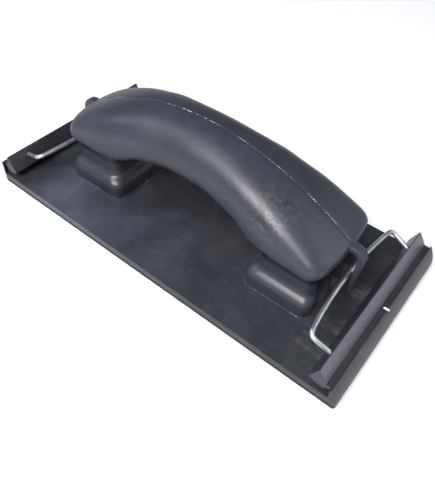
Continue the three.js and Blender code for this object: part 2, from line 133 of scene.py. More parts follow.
FOOT_INNER_X = 43
FOOT_OUTER_X = 82.2
FOOT_HALF_WIDTH = 26.6
FOOT_ROUND = 6.5
FOOT_OUTER_ROUND = 5
FOOT_BOTTOM = 6.52
FOOT_PROFILE = (                 # height, and how far the foot's sides stand in there
    (FOOT_BOTTOM, 0.0), (7.1, 0.0), (12.5, 0.0), (13.6, 0.12), (14.6, 0.42), (15.4, 0.85), (16.1, 1.4),
    (16.7, 2.0), (17.2, 2.6), (17.7, 3.2), (18.3, 3.72), (19.1, 4.1), (20.3, 4.35), (22, 4.5), (26, 4.62),
    (33.6, 4.8),
)
FOOT_POCKET_HALF_SPREAD = 17.1
FOOT_PAINTED_SHADE_HEIGHTS = (25.2, 27.4)    # heights between which the painted shade under the grip's rim sets in
FOOT_SKIN = 2.4
FOOT_RIBS = 2
FOOT_POCKET_DEPTH = 10
FOOT_POCKET_TOP = 30
FOOT_EASE = 0.3
FLASH_STEP = 0.9                   # spacing of the points along the flash round a foot
FOOT_FLASH_SEED = {"left": 23, "right": 11}
FOOT_FLASH_WIDTH = (0.16, 0.22, 1)    # its radius: the least, the swing above that, and the spread
FOOT_FLASH_MOST = 0.55
FOOT_FLASH_OUT = 0.12                 # how far the flash stands out of the foot
FOOT_FLASH_LIFT = 0.08                # and above the plate
SEAM_FLASH_SEED = 5
SEAM_FLASH_WIDTH = (0.1, 0.2, 0.8)
SEAM_FLASH_MOST = 0.42
SEAM_FLASH_SWAY = 0.06
SEAM_FLASH_SUNK = 0.03
SEAM_FLASH_STEPS = 320
SEAM_FLASH_REACH = (-80, 82)

HOOK_ARCH = (86.1, 35.6)
HOOK_OUTER_RADIUS = 6.2
HOOK_INNER_RADIUS = 3.2
HOOK_HALF_WIDTH = 2.7
HOOK_TIP_HALF_WIDTH = 1.5
HOOK_TIP_Z = 9.3
HOOK_TIP_DEPTH = 2.3
HOOK_TIP_ROUND = 0.7
HOOK_TAPER_DROP = 6
HOOK_FACE_HEIGHTS = (30, 24, 18, 13)    # points down the hook's inner face, where it tapers
HOOK_ROOT_X = 77.5
HOOK_RIB_SPACING = 1.75
HOOK_RIB_RADIUS = 0.42
HOOK_RIB_SUNK = 0.12
HOOK_EASE = 0.4

SIDES = {"left": -1, "right": 1}

# ---------------------------------------------------------------- working with Blender's tools


def clear_selection():
    if bpy.context.object and bpy.context.object.mode != "OBJECT":
        bpy.ops.object.mode_set(mode="OBJECT")
    bpy.ops.object.select_all(action="DESELECT")


def pick(piece):
    clear_selection()
    piece.select_set(True)
    bpy.context.view_layer.objects.active = piece


def new_piece(name):
    """The primitive that was just added, given its name."""
    piece = bpy.context.object
    piece.name = name
    piece.data.name = name
    return piece


def use_modifier(piece, kind, **settings):
    """Adds a modifier to the piece and applies it."""
    pick(piece)
    modifier = piece.modifiers.new(kind.title(), kind)
    for setting, value in settings.items():
        setattr(modifier, setting, value)
    bpy.ops.object.modifier_apply(modifier=modifier.name)


def turn_outwards(piece):
    pick(piece)
    bpy.ops.object.mode_set(mode="EDIT")
    bpy.ops.mesh.select_all(action="SELECT")
    bpy.ops.mesh.remove_doubles(threshold=0.00001)
    bpy.ops.mesh.normals_make_consistent(inside=False)
    bpy.ops.object.mode_set(mode="OBJECT")


def ease_edges(piece, width, angle=40, segments=2):
    use_modifier(
        piece, "BEVEL", width=width * MM, segments=segments, limit_method="ANGLE",
        angle_limit=radians(angle),
    )


def smooth(piece, angle=32):
    pick(piece)
    bpy.ops.object.shade_smooth_by_angle(angle=radians(angle))


def bar(name, section, stations):
    """A closed X-Z section, filled and then extruded across the block from station to station."""
    clear_selection()
    bpy.ops.mesh.primitive_circle_add(vertices=len(section), fill_type="NGON")
    piece = new_piece(name)
    for vertex, (x, z) in zip(piece.data.vertices, section):
        vertex.co = Vector((x, stations[0], z)) * MM
    pick(piece)
    bpy.ops.object.mode_set(mode="EDIT")
    bpy.ops.mesh.select_all(action="SELECT")
    for before, after in zip(stations, stations[1:]):
        step = (0, (after - before) * MM, 0)
        bpy.ops.mesh.extrude_region_move(TRANSFORM_OT_translate={"value": step})
    turn_outwards(piece)
    return piece


def stack(name, rings):
    """A filled ring extruded to each further ring in turn."""
    clear_selection()
    bpy.ops.mesh.primitive_circle_add(vertices=len(rings[0]), fill_type="NGON")
    piece = new_piece(name)
    for vertex, point in zip(piece.data.vertices, rings[0]):
        vertex.co = Vector(point) * MM
    pick(piece)
    bpy.ops.object.mode_set(mode="EDIT")
    bpy.ops.mesh.select_all(action="SELECT")
    for before, after in zip(rings, rings[1:]):
        bpy.ops.mesh.extrude_region_move(TRANSFORM_OT_translate={"value": (0, 0, 0)})
        mesh = bmesh.from_edit_mesh(piece.data)
        old = [Vector(point) * MM for point in before]
        for vertex in [v for v in mesh.verts if v.select]:
            nearest = min(range(len(old)), key=lambda i: (old[i] - vertex.co).length_squared)
            vertex.co = Vector(after[nearest]) * MM
        bmesh.update_edit_mesh(piece.data)
    turn_outwards(piece)
    return piece


def skin(name, rows):
    """A grid whose points are moved to the rows of places given."""
    clear_selection()
    along = len(rows) - 1
    across = len(rows[0]) - 1
    bpy.ops.mesh.primitive_grid_add(x_subdivisions=across, y_subdivisions=along, size=1)
    piece = new_piece(name)
    for vertex in piece.data.vertices:
        i = round((vertex.co.x + 0.5) * across)
        j = round((vertex.co.y + 0.5) * along)
        vertex.co = Vector(rows[j][i]) * MM
    return piece


def tube(name, path, radius, resolution=3):
    """A smooth round tube along a path; radius is one number, or one for each point."""
    line = bpy.data.curves.new(name, "CURVE")
    line.dimensions = "3D"
    line.bevel_depth = MM
    line.bevel_resolution = resolution
    line.use_fill_caps = True
    spline = line.splines.new("POLY")
    spline.points.add(len(path) - 1)
    widths = radius if isinstance(radius, list) else [radius] * len(path)
    for point, place, width in zip(spline.points, path, widths):
        point.co = (*(Vector(place) * MM), 1)
        point.radius = width
    piece = bpy.data.objects.new(name, line)
    bpy.context.scene.collection.objects.link(piece)
    pick(piece)
    bpy.ops.object.convert(target="MESH")
    piece = bpy.context.object
    turn_outwards(piece)
    return piece


def join(pieces, name):
    clear_selection()
    for piece in pieces:
        piece.select_set(True)
    bpy.context.view_layer.objects.active = pieces[0]
    bpy.ops.object.join()
    return new_piece(name)


def cut(piece, cutters):
    for cutter in cutters:
        use_modifier(piece, "BOOLEAN", object=cutter, operation="DIFFERENCE", solver="EXACT")
        bpy.data.objects.remove(cutter)


def block_between(low, high):
    """A box-shaped cutter between two corners."""
    clear_selection()
    middle = (Vector(low) + Vector(high)) / 2 * MM
    bpy.ops.mesh.primitive_cube_add(size=1, location=middle)
    cutter = new_piece("cutter")
    size = (Vector(high) - Vector(low)) * MM
    cutter.data.transform(Matrix.LocRotScale(middle, None, size))
    cutter.location = (0, 0, 0)
    return cutter


def fit(piece, finish, body, nodes):
    """Gives a finished piece its finish and the body that it rides on, if one body carries it,
    and hides the CAD parts of the nodes that it stands for."""
    piece.data.materials.clear()
    piece.data.materials.append(finish)
    if body:
        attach(piece, body)
    if nodes:
        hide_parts(*nodes)


# ---------------------------------------------------------------- shapes on paper


def lerp(a, b, t):
    return a + (b - a) * t


def smoothstep(value, low, high):
    t = min(1, max(0, (value - low) / (high - low)))
    return t * t * (3 - 2 * t)


def bend(start, pull, end, steps=8):
    """Points of a quadratic curve, without its first one."""
    found = []
    for i in range(1, steps + 1):
        t = i / steps
        found.append(tuple(
            (1 - t) ** 2 * a + 2 * t * (1 - t) * b + t * t * c for a, b, c in zip(start, pull, end)
        ))
    return found


def arc(centre, radius, first, last, steps=10):
    turns = [lerp(first, last, i / steps) for i in range(steps + 1)]
    return [(centre[0] + radius * cos(a), centre[1] + radius * sin(a)) for a in turns]


def rounded_outline(x0, x1, half_width, round_low, round_high, steps=8):
    """Plan outline with its own corner rounding at each end."""
    points = []
    points += arc((x1 - round_high, half_width - round_high), round_high, 0, pi / 2, steps)
    points += arc((x0 + round_low, half_width - round_low), round_low, pi / 2, pi, steps)
    points += arc((x0 + round_low, -half_width + round_low), round_low, pi, 1.5 * pi, steps)
    points += arc((x1 - round_high, -half_width + round_high), round_high, 1.5 * pi, 2 * pi, steps)
    return points


def mirrored(points, side):
    return [(side * x, z) for x, z in points]


def at_clamp(points, side):
    """Places a clamp's section at its end; the left clamp rests a little nearer the plate."""
    if side > 0:
        return points
    placed = []
    for x, z in points:
        dx, dz = x - HINGE_X, z - HINGE_Z
        turned_x = HINGE_X + dx * cos(LEFT_CLAMP_TILT) - dz * sin(LEFT_CLAMP_TILT)
        turned_z = HINGE_Z + dx * sin(LEFT_CLAMP_TILT) + dz * cos(LEFT_CLAMP_TILT)
        placed.append((-turned_x, turned_z))
    return placed


# ---------------------------------------------------------------- base: sole, plate and end walls


def make_sole():
    rings = []
    for inset, height in SOLE_RINGS:
        outline = rounded_outline(
            inset - PLATE_HALF_LENGTH, PLATE_HALF_LENGTH - inset, PLATE_HALF_WIDTH - inset,
            CORNER_ROUND_LEFT - inset, CORNER_ROUND_RIGHT - inset,
        )
        rings.append([(x, y, height) for x, y in outline])
    piece = stack("sole", rings)
    smooth(piece, 60)
    return piece


def end_wall_section():
    """Right end wall, from the foot of its outer face over its top to the plate's upper face."""
    lip = asin((GROOVE_FLOOR - HINGE_Z) / SEAT_RADIUS)
    outer = PLATE_HALF_LENGTH
    points = [(outer, PLATE_BOTTOM), (outer, WALL_SHOULDER)]
    points += bend((outer, WALL_SHOULDER), WALL_FACE_PULL, (WALL_CREST_X, WALL_TOP), 8)
    points += [(WALL_CREST_X - WALL_CREST_LEAN, GROOVE_FLOOR)]
    points += arc((HINGE_X, HINGE_Z), SEAT_RADIUS, lip, -pi / 3, 10)
    points += [(WALL_INNER_X, HINGE_Z - WALL_FILLET), (WALL_INNER_X, PLATE_TOP + WALL_FILLET)]
    points += bend(
        (WALL_INNER_X, PLATE_TOP + WALL_FILLET), (WALL_INNER_X, PLATE_TOP),
        (WALL_INNER_X - WALL_FILLET, PLATE_TOP), 5,
    )
    return points


def corner_limit(y, side):
    """How far out the plate reaches at its rounded corner."""
    radius = CORNER_ROUND_RIGHT if side > 0 else CORNER_ROUND_LEFT
    inside = PLATE_HALF_WIDTH - abs(y)
    if inside >= radius:
        return PLATE_HALF_LENGTH
    return PLATE_HALF_LENGTH - radius + sqrt(max(0, radius ** 2 - (radius - inside) ** 2))


def round_plan_corners(piece):
    for vertex in piece.data.vertices:
        y = vertex.co.y / MM
        side = 1 if vertex.co.x > 0 else -1
        limit = corner_limit(y, side) * MM
        if abs(vertex.co.x) > limit:
            vertex.co.x = side * limit


def across_stations():
    """Stations across the plate, closer together where its corners round."""
    half = [PLATE_HALF_WIDTH - CORNER_ROUND_LEFT * (1 - cos(i * pi / 16)) for i in range(9)]
    half.insert(1, PLATE_HALF_WIDTH - 0.15)
    half += [PLATE_HALF_WIDTH - CORNER_ROUND_RIGHT, PLATE_HALF_WIDTH - 0.7]
    half += [30, 15, NOTCH_HALF_WIDTH + 0.4]
    half = sorted(set(round(y, 3) for y in half))
    return [-y for y in reversed(half)] + half


def make_notch(side):
    """Cutter for the small notch in the top of an end wall, at its middle."""
    near, far = sorted((side * NOTCH_INNER_X, side * (PLATE_HALF_LENGTH + 1)))
    low = (near, -NOTCH_HALF_WIDTH, WALL_TOP - NOTCH_DEPTH)
    return block_between(low, (far, NOTCH_HALF_WIDTH, WALL_TOP + 2))


def make_plate():
    wall = end_wall_section()
    section = wall + mirrored(wall, -1)[::-1]
    piece = bar("base_plate_moulding", section, across_stations())
    round_plan_corners(piece)
    turn_outwards(piece)
    cut(piece, [make_notch(side) for side in SIDES.values()])
    ease_edges(piece, PLATE_EASE, 48)
    smooth(piece, 40)
    return piece


def make_wall_pale_sliver(side):
    """Small near-white sliver lying across the groove at the middle of the end wall."""
    piece = tube("wall_pale_sliver", [(side * x, 0, z) for x, z in PALE_SLIVER_PATH], PALE_SLIVER_RADII, 3)
    smooth(piece, 50)
    return piece


# ---------------------------------------------------------------- feet


def foot_outline(inset, side):
    outer = FOOT_OUTER_X if side > 0 else FOOT_OUTER_X - LEFT_SHORTENING
    outline = rounded_outline(
        FOOT_INNER_X + inset, outer - inset / 2, FOOT_HALF_WIDTH - inset, FOOT_ROUND, FOOT_OUTER_ROUND, 7,
    )
    return [(side * x, y) for x, y in outline]


def make_foot(end):
    side = SIDES[end]
    rings = [[(x, y, height) for x, y in foot_outline(inset, side)] for height, inset in FOOT_PROFILE]
    piece = stack(f"foot_{end}_moulding", rings)
    bay = (2 * FOOT_POCKET_HALF_SPREAD - FOOT_RIBS * FOOT_SKIN) / (FOOT_RIBS + 1)
    near, far = sorted((side * (FOOT_OUTER_X - FOOT_POCKET_DEPTH), side * (FOOT_OUTER_X + 1)))
    cutters = []
    for i in range(FOOT_RIBS + 1):
        y0 = i * (bay + FOOT_SKIN) - FOOT_POCKET_HALF_SPREAD
        low = (near, y0, PLATE_TOP + FOOT_SKIN)
        cutters.append(block_between(low, (far, y0 + bay, FOOT_POCKET_TOP)))
    cut(piece, cutters)
    ease_edges(piece, FOOT_EASE, 55)
    smooth(piece, 38)
    return piece


def ragged_width(rough, least, swing, spread):
    """A chance width, never under the least."""
    return least + swing * max(0, rough.gauss(0, spread))


def evened(widths, most):
    """Each width averaged with the next one, the last with the first, and kept to the most."""
    return [min(most, (a + b) / 2) for a, b in zip(widths, widths[1:] + widths[:1])]


def make_foot_flash(end):
    """Thin ragged bead of flash along the foot's joint with the plate."""
    rough = random.Random(FOOT_FLASH_SEED[end])
    outline = foot_outline(-FOOT_FLASH_OUT, SIDES[end])
    path = []
    for (x0, y0), (x1, y1) in zip(outline, outline[1:] + outline[:1]):
        steps = max(1, round(sqrt((x1 - x0) ** 2 + (y1 - y0) ** 2) / FLASH_STEP))
        for i in range(steps):
            t = i / steps
            path.append((lerp(x0, x1, t), lerp(y0, y1, t), PLATE_TOP + FOOT_FLASH_LIFT))
    widths = evened([ragged_width(rough, *FOOT_FLASH_WIDTH) for _ in path], FOOT_FLASH_MOST)
    piece = tube(f"foot_{end}_flash", path, widths, 1)
    smooth(piece, 60)
    return piece


# ---------------------------------------------------------------- grip


def round_off(distance, start):
    t = max(0, (distance - start) / (GRIP_HALF_LENGTH - start))
    return sqrt(max(0, 1 - t * t))


def grip_heights(distance, inset):
    """Top and bottom of the grip's section at a distance from its middle."""
    top = GRIP_TOP - (GRIP_TOP - GRIP_END_TOP) * (distance / GRIP_HALF_LENGTH) ** 2 - inset
    arch = lerp(GRIP_UNDERSIDE, GRIP_RIM, smoothstep(distance, *GRIP_ARCH_FOOT))
    lift = 1 - round_off(distance, GRIP_RIM_LIFT_START)
    return top, arch + (GRIP_END_RIM - GRIP_RIM) * lift + inset


def grip_place(station, angle, inset=0, keep=1):
    """A point of the grip's skin; inset draws it in, and keep below 1 closes it towards the end face's
    middle."""
    distance = abs(station)
    spread = smoothstep(distance, *GRIP_WAIST)
    body = lerp(GRIP_HALF_WIDTH, GRIP_END_HALF_WIDTH, spread)
    nose = round_off(distance, GRIP_NOSE_START)
    half_width = GRIP_NOSE_HALF_WIDTH + (body - GRIP_NOSE_HALF_WIDTH) * nose - inset
    top, bottom = grip_heights(distance, inset)
    widest = lerp(bottom, top, lerp(*GRIP_WIDEST, spread))
    across, up = cos(angle), sin(angle)
    power = 2 / lerp(*(GRIP_CROWN_POWER if up > 0 else GRIP_BELLY_POWER), spread)
    reach = top - widest if up > 0 else widest - bottom
    sideways = (1 if across > 0 else -1) * abs(across) ** power
    height = widest + reach * (1 if up > 0 else -1) * abs(up) ** power
    if up > 0:
        fold = GRIP_CREST_FOLD * smoothstep(station, *GRIP_FOLD_REACH)
        height -= fold * abs(sideways) * (1 - abs(sideways))
    height = lerp((top + bottom) / 2, height, keep)
    shorten = 1 - LEFT_SHORTENING / GRIP_HALF_LENGTH if station < 0 else 1
    bow = GRIP_END_BOW * (sideways * keep) ** 2 * (station / GRIP_HALF_LENGTH) ** 5
    return Vector((station * shorten - bow, half_width * sideways * keep, height))


def grip_stations():
    """Station, inset and closing share of each row along the grip."""
    reach = GRIP_HALF_LENGTH - GRIP_EDGE_ROUND
    turns = [(2 * i / GRIP_STATIONS - 1) * pi / 2 for i in range(GRIP_STATIONS + 1)]
    rows = [(reach * sin(turn), 0, 1) for turn in turns]
    end = []
    for i in range(1, GRIP_EDGE_STEPS + 1):
        turn = i * pi / 2 / GRIP_EDGE_STEPS
        end.append((reach + GRIP_EDGE_ROUND * sin(turn), GRIP_EDGE_ROUND * (1 - cos(turn)), 1))
    end += [(GRIP_HALF_LENGTH, GRIP_EDGE_ROUND, keep) for keep in GRIP_END_KEEPS]
    return [(-s, inset, keep) for s, inset, keep in reversed(end)] + rows + end


def make_grip_half(name, hand):
    rows = []
    for station, inset, keep in grip_stations():
        row = []
        for i in range(GRIP_RING + 1):
            angle = pi / 2 + hand * -pi * i / GRIP_RING
            place = grip_place(station, angle, inset, keep)
            place.y = hand * max(hand * place.y, SEAM_GAP / 2)
            row.append(place)
        rows.append(row)
    piece = skin(name, rows)
    turn_outwards(piece)
    face_away(piece, Vector((0, 0, 50)) * MM)
    use_modifier(piece, "SOLIDIFY", thickness=GRIP_WALL * MM, offset=-1)
    ease_edges(piece, GRIP_EASE, 60)
    smooth(piece, 50)
    return piece


def face_away(piece, middle):
    """Turns an open skin over if its crest looks inwards."""
    crest = max(piece.data.polygons, key=lambda face: face.center.z)
    if crest.normal.dot(crest.center - middle) < 0:
        piece.data.flip_normals()


def make_seam_flash():
    """Ragged sliver of flash standing along the crest of the grip, where its halves meet."""
    rough = random.Random(SEAM_FLASH_SEED)
    path = []
    widths = []
    for i in range(SEAM_FLASH_STEPS + 1):
        place = grip_place(lerp(*SEAM_FLASH_REACH, i / SEAM_FLASH_STEPS), pi / 2)
        sway = rough.uniform(-SEAM_FLASH_SWAY, SEAM_FLASH_SWAY)
        path.append((place.x, sway, place.z - SEAM_FLASH_SUNK))
        widths.append(ragged_width(rough, *SEAM_FLASH_WIDTH))
    piece = tube("seam_flash", path, evened(widths, SEAM_FLASH_MOST), 1)
    smooth(piece, 60)
    return piece


# ---------------------------------------------------------------- hooks


def hook_section():
    cx, cz = HOOK_ARCH
    face = cx + HOOK_INNER_RADIUS
    back = face + HOOK_TIP_DEPTH
    points = [(HOOK_ROOT_X, cz + HOOK_INNER_RADIUS)]
    points += arc(HOOK_ARCH, HOOK_INNER_RADIUS, pi / 2, 0, 10)
    points += [(face, z) for z in HOOK_FACE_HEIGHTS]
    points += [(face, HOOK_TIP_Z + HOOK_TIP_ROUND)]
    points += bend(points[-1], (face, HOOK_TIP_Z), (face + HOOK_TIP_ROUND, HOOK_TIP_Z), 4)
    points += bend(points[-1], (back, HOOK_TIP_Z), (back, HOOK_TIP_Z + 3 * HOOK_TIP_ROUND), 4)
    for t in (0.2, 0.4, 0.6, 0.8):
        points.append((lerp(back, cx + HOOK_OUTER_RADIUS, t), lerp(HOOK_TIP_Z + 2, cz, t)))
    points += arc(HOOK_ARCH, HOOK_OUTER_RADIUS, 0, pi / 2, 12)
    points += [(HOOK_ROOT_X, cz + HOOK_OUTER_RADIUS)]
    return points


def make_hook_rib(side, shift, y):
    """Raised line that runs over the hook's arch."""
    radius = HOOK_OUTER_RADIUS - HOOK_RIB_SUNK
    path = [(side * (x + shift), y, z) for x, z in arc(HOOK_ARCH, radius, -0.2, pi / 2, 16)]
    path.append((side * (HOOK_ARCH[0] + shift - 3), y, HOOK_ARCH[1] + radius))
    return tube("rib", path, HOOK_RIB_RADIUS, 2)


def make_hook(end):
    side = SIDES[end]
    shift = 0 if side > 0 else -LEFT_SHORTENING
    section = [(side * (x + shift), z) for x, z in hook_section()]
    piece = bar(f"bail_hook_{end}_moulding", section, [-HOOK_HALF_WIDTH, 0, HOOK_HALF_WIDTH])
    taper_top = HOOK_ARCH[1] - HOOK_TAPER_DROP
    for vertex in piece.data.vertices:
        height = vertex.co.z / MM
        share = min(1, max(0, (height - HOOK_TIP_Z) / (taper_top - HOOK_TIP_Z)))
        vertex.co.y *= lerp(HOOK_TIP_HALF_WIDTH, HOOK_HALF_WIDTH, share) / HOOK_HALF_WIDTH
    ease_edges(piece, HOOK_EASE, 50, 3)
    ribs = [make_hook_rib(side, shift, y) for y in (-HOOK_RIB_SPACING, 0, HOOK_RIB_SPACING)]
    piece = join([piece, *ribs], piece.name)
    smooth(piece, 40)
    return piece


# ---------------------------------------------------------------- clamps


def jaw_section(end):
    """Jaw from its tip, over its ridge and down its outer face, round the knuckle and back underneath."""
    tip_x, tip_z = JAW_TIP[end]
    ridge_x, ridge_z = JAW_RIDGE[end]
    tip = (tip_x + 0.4, tip_z - 0.35)
    points = [tip]
    points += bend(tip, (tip_x - 0.3, tip_z - 0.1), (tip_x + 0.1, tip_z + 0.7), 5)
    points += [(ridge_x - 0.35, ridge_z - 0.7)]
    points += bend(points[-1], (ridge_x, ridge_z), (ridge_x + 0.5, ridge_z - 0.75), 5)
    points += [JAW_BASE, (JAW_BASE[0] + 0.15, JAW_BASE[1] - 0.5)]
    points += arc((HINGE_X, HINGE_Z), KNUCKLE_RADIUS, 2.4, -2.2, 16)
    points += bend(points[-1], (HINGE_X - 1.2, HINGE_Z - 3.3), JAW_HEEL, 5)
    points += bend(JAW_HEEL, (HINGE_X - 5.5, HINGE_Z - 3.2), tip, 6)[:-1]
    return points


def make_jaw(end):
    half = JAW_HALF_LENGTH
    section = at_clamp(jaw_section(end), SIDES[end])
    piece = bar(f"clamp_jaw_{end}_moulding", section, [-half, -half / 2, 0, half / 2, half])
    ease_edges(piece, JAW_EASE, 50)
    smooth(piece, 36)
    return piece


def make_web(end):
    """Thin flexible web that joins the jaw to the top of the end wall."""
    half = JAW_HALF_LENGTH - WEB_END_GAP
    piece = bar(f"jaw_web_{end}", mirrored(WEB_SECTION, SIDES[end]), [-half, 0, half])
    smooth(piece, 50)
    return piece


def bail_path(end):
    """Wire from one leg inside the jaw, round its bends and across, to the other leg."""
    bow = BAIL_BOW[end]
    leg_end = {}
    turn = {}
    for hand in (-1, 1):
        corner = Vector((BAIL_CORNER.x, hand * BAIL_CORNER.y, BAIL_CORNER.z))
        entry = Vector((BAIL_ENTRY.x, hand * BAIL_ENTRY.y, BAIL_ENTRY.z))
        along = (entry - corner).normalized()
        across = Vector((-bow / 3, -hand * BAIL_BOW_START, bow / 6)).normalized()
        leg_end[hand] = entry + along * BAIL_INSERT
        turn[hand] = (corner + along * BAIL_BEND[hand], corner, corner + across * BAIL_BEND[hand])
    path = [leg_end[-1], turn[-1][0]]
    path += [Vector(p) for p in bend(*turn[-1], 10)]
    first, last = turn[-1][2], turn[1][2]
    pulls = [
        Vector((BAIL_CORNER.x - bow * 4 / 3, hand * (BAIL_BOW_START - 2), BAIL_CORNER.z + bow / 2))
        for hand in (-1, 1)
    ]
    for i in range(1, BAIL_STEPS + 1):
        t = i / BAIL_STEPS
        pulled = pulls[0] * 3 * t * (1 - t) ** 2 + pulls[1] * 3 * t * t * (1 - t)
        path.append(first * (1 - t) ** 3 + pulled + last * t ** 3)
    path += [Vector(p) for p in bend(*reversed(turn[1]), 10)]
    path.append(leg_end[1])
    placed = at_clamp([(p.x, p.z) for p in path], SIDES[end])
    return [(x, p.y, z) for (x, z), p in zip(placed, path)]


def make_bail(end):
    piece = tube(f"wire_bail_{end}_drawn", bail_path(end), WIRE_RADIUS, 5)
    smooth(piece, 60)
    return piece


# ---------------------------------------------------------------- finishes


class Share:
    """A socket that can be used in sums; each operator adds its Math node."""

    def __init__(self, finish, socket):
        self.finish = finish
        self.socket = socket

    def sum(self, operation, first, second):
        return self.finish.share("ShaderNodeMath", {"operation": operation}, {0: first, 1: second})

    def __add__(self, other):
        return self.sum("ADD", self, other)

    def __radd__(self, other):
        return self.sum("ADD", other, self)

    def __sub__(self, other):
        return self.sum("SUBTRACT", self, other)

    def __rsub__(self, other):
        return self.sum("SUBTRACT", other, self)

    def __mul__(self, other):
        return self.sum("MULTIPLY", self, other)

    def __rmul__(self, other):
        return self.sum("MULTIPLY", other, self)


class Finish:
    """A material under construction, with one way to make any node."""

    def __init__(self, name, **constants):
        self.material = bpy.data.materials.new(name)
        self.material.use_nodes = True
        self.tree = self.material.node_tree
        self.shader = self.tree.nodes["Principled BSDF"]
        for socket, value in constants.items():
            self.shader.inputs[socket.replace("_", " ")].default_value = value
        self.place = self.share("ShaderNodeTexCoord", {}, {}, "Object")

    def node(self, kind, settings, sockets):
        made = self.tree.nodes.new(kind)
        for setting, value in settings.items():
            setattr(made, setting, value)
        for socket, value in sockets.items():
            if isinstance(value, Share):
                self.tree.links.new(value.socket, made.inputs[socket])
            else:
                made.inputs[socket].default_value = value
        return made

    def share(self, kind, settings, sockets, output=0):
        return Share(self, self.node(kind, settings, sockets).outputs[output])

    def stretched(self, scale, turn=(0, 0, 0)):
        return self.share("ShaderNodeMapping", {}, {"Vector": self.place, "Scale": scale, "Rotation": turn})

    def noise(self, scale, detail=3, roughness=0.5, place=None):
        sockets = {"Vector": place or self.place, "Scale": scale, "Detail": detail, "Roughness": roughness}
        return self.share("ShaderNodeTexNoise", {}, sockets)

    def window(self, value, low, high):
        """0 below low, 1 above high and even between them."""
        sockets = {"Value": value, "From Min": low, "From Max": high}
        return self.share("ShaderNodeMapRange", {"clamp": True}, sockets)

    def blend(self, factor, first, second):
        sockets = {0: factor, 6: first, 7: second}
        return self.share("ShaderNodeMix", {"data_type": "RGBA"}, sockets, 2)

    def upward(self):
        normal = self.share("ShaderNodeNewGeometry", {}, {}, "Normal")
        return self.share("ShaderNodeSeparateXYZ", {}, {0: normal}, "Z")

    def outward(self):
        """1 on faces that look out of the block's ends, 0 on the rest."""
        normal = self.share("ShaderNodeNewGeometry", {}, {}, "Normal")
        facing = self.share("ShaderNodeSeparateXYZ", {}, {0: normal}, "X")
        side = self.share("ShaderNodeSeparateXYZ", {}, {0: self.place}, "X")
        return self.window(facing * side, 0.03, 0.06)

    def around(self, middle, radius):
        """1 at a place on the block, falling to 0 at the radius; both in millimetres."""
        sockets = {0: self.place, 1: Vector(middle) * MM}
        distance = self.share("ShaderNodeVectorMath", {"operation": "DISTANCE"}, sockets, "Value")
        return 1 - self.window(distance, radius * 0.25 * MM, radius * MM)

    def connect(self, **links):
        for socket, value in links.items():
            self.tree.links.new(value.socket, self.shader.inputs[socket.replace("_", " ")])

    def bump(self, height, strength, distance):
        sockets = {"Height": height, "Strength": strength, "Distance": distance}
        self.connect(Normal=self.share("ShaderNodeBump", {}, sockets))


def tone(red, green, blue):
    """Linear colour from the usual 0-255 values."""
    return tuple(((c / 255 + 0.055) / 1.055) ** 2.4 for c in (red, green, blue)) + (1,)


SCUFF_TONE = tone(128, 131, 138)
DUST_TONE = tone(150, 147, 140)
# bluish tone of the painted reflection on the plate
PAINTED_SHEEN_TONE = tone(112, 117, 136)
# pale tone for faces looking out of the block's ends, partly real rubbing and partly painted light
END_RUB_AND_LIGHT_TONE = tone(120, 121, 132)
# pale tone for the grip's worn places, partly real wear and partly a painted highlight
WORN_HIGHLIGHT_TONE = tone(120, 121, 124)
# near-black painted shade, for the top of each foot under the grip's rim
PAINTED_SHADE_TONE = tone(6, 6, 7)


def scratches(finish, turn, rarity, scale=1.0):
    """Fine straight scratches running one way, as a 0-1 mask."""
    stretched = finish.stretched((38 * scale, 1500 * scale, 1500 * scale), (0, 0, turn))
    lines = finish.noise(1, 2, 0.4, stretched)
    patches = finish.noise(30, 2, 0.5, finish.stretched((1, 1, 1), (0.3, 0.2, turn)))
    return finish.window(lines, rarity, rarity + 0.06) * finish.window(patches, 0.5, 0.68)


def all_scratches(finish):
    """Scratches in three directions, as one 0-1 mask."""
    marks = scratches(finish, 0.22, 0.62) + scratches(finish, 1.45, 0.65, 1.3)
    return finish.window(marks + scratches(finish, -0.5, 0.66, 0.8), 0, 1)


def painted_sheen_over(finish, colour, clouds, places):
    """Painted reflection: a dull bluish sheen at each place of middle, radius and strength."""
    for middle, radius, strength in places:
        sheen_mask = finish.around(middle, radius) * finish.window(clouds, 0.2, 0.6)
        colour = finish.blend(sheen_mask * strength, colour, PAINTED_SHEEN_TONE)
    return colour


def dust_cover(finish, mottle, dusting, places):
    """Dust settled on upward faces, pale specks, and a smear at each place, as a mask."""
    settled = finish.window(finish.upward(), 0.2, 1) * finish.window(finish.noise(60, 5, 0.7), 0.45, 0.75)
    specks = finish.window(finish.noise(1050, 1, 0.4), 0.73, 0.78) * finish.window(mottle, 0.5, 0.62)
    dust = settled * dusting + specks * (dusting * 2.2)
    if places:
        smeared = finish.stretched((90, 240, 90), (0, 0, 0.7))
        smears = finish.window(finish.noise(1, 5, 0.7, smeared), 0.47, 0.7)
    for middle, radius, strength in places:
        dust = dust + finish.around(middle, radius) * smears * strength
    return dust


